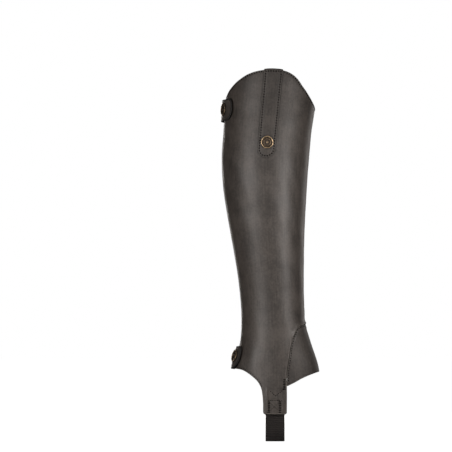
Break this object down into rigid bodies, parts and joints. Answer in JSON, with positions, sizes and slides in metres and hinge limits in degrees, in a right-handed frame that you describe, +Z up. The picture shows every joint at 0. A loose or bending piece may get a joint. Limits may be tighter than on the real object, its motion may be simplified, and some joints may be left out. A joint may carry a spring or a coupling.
{
  "type": "half chap",
  "caption": "Leather half chap for a right leg, open at top and foot, with a back zip under snap tabs, an inner suede panel and an elastic stirrup.",
  "frame": {"origin": "the middle of the leg at the calf's fullest level, 124 mm below the peak of the top edge", "axes": "+Z up the leg, +X out of the shin, -X out of the zip at the back, -Y out of the outer side of the right leg"},
  "size_m": [0.1427, 0.1125, 0.5365],
  "materials": {
    "leather": "smooth dark brown-black grain leather, satin, slightly worn edges",
    "suede": "dark suede with a mottled nap",
    "lining": "dark brushed lining cloth",
    "elastic": "near-black ribbed elastic",
    "zip": "black woven zip tape with a moulded coil",
    "antique_metal": "antique copper-brass with a dark patina"
  },
  "bodies": {
    "root": {"leather_leg": "leather", "suede_calf": "suede", "front_gusset": "leather", "lining": "lining", "top_facing_back": "leather", "top_facing_front": "leather", "top_strap": "leather", "strap_cap": "antique_metal", "zip_tape": "zip", "zip_slider": "antique_metal", "zip_pull": "antique_metal", "top_tab": "leather", "bottom_tab": "leather", "top_snap_cap": "antique_metal", "top_snap_socket": "antique_metal", "bottom_snap_cap": "antique_metal", "bottom_snap_socket": "antique_metal", "stirrup_elastic": "elastic"}
  },
  "joints": []
}
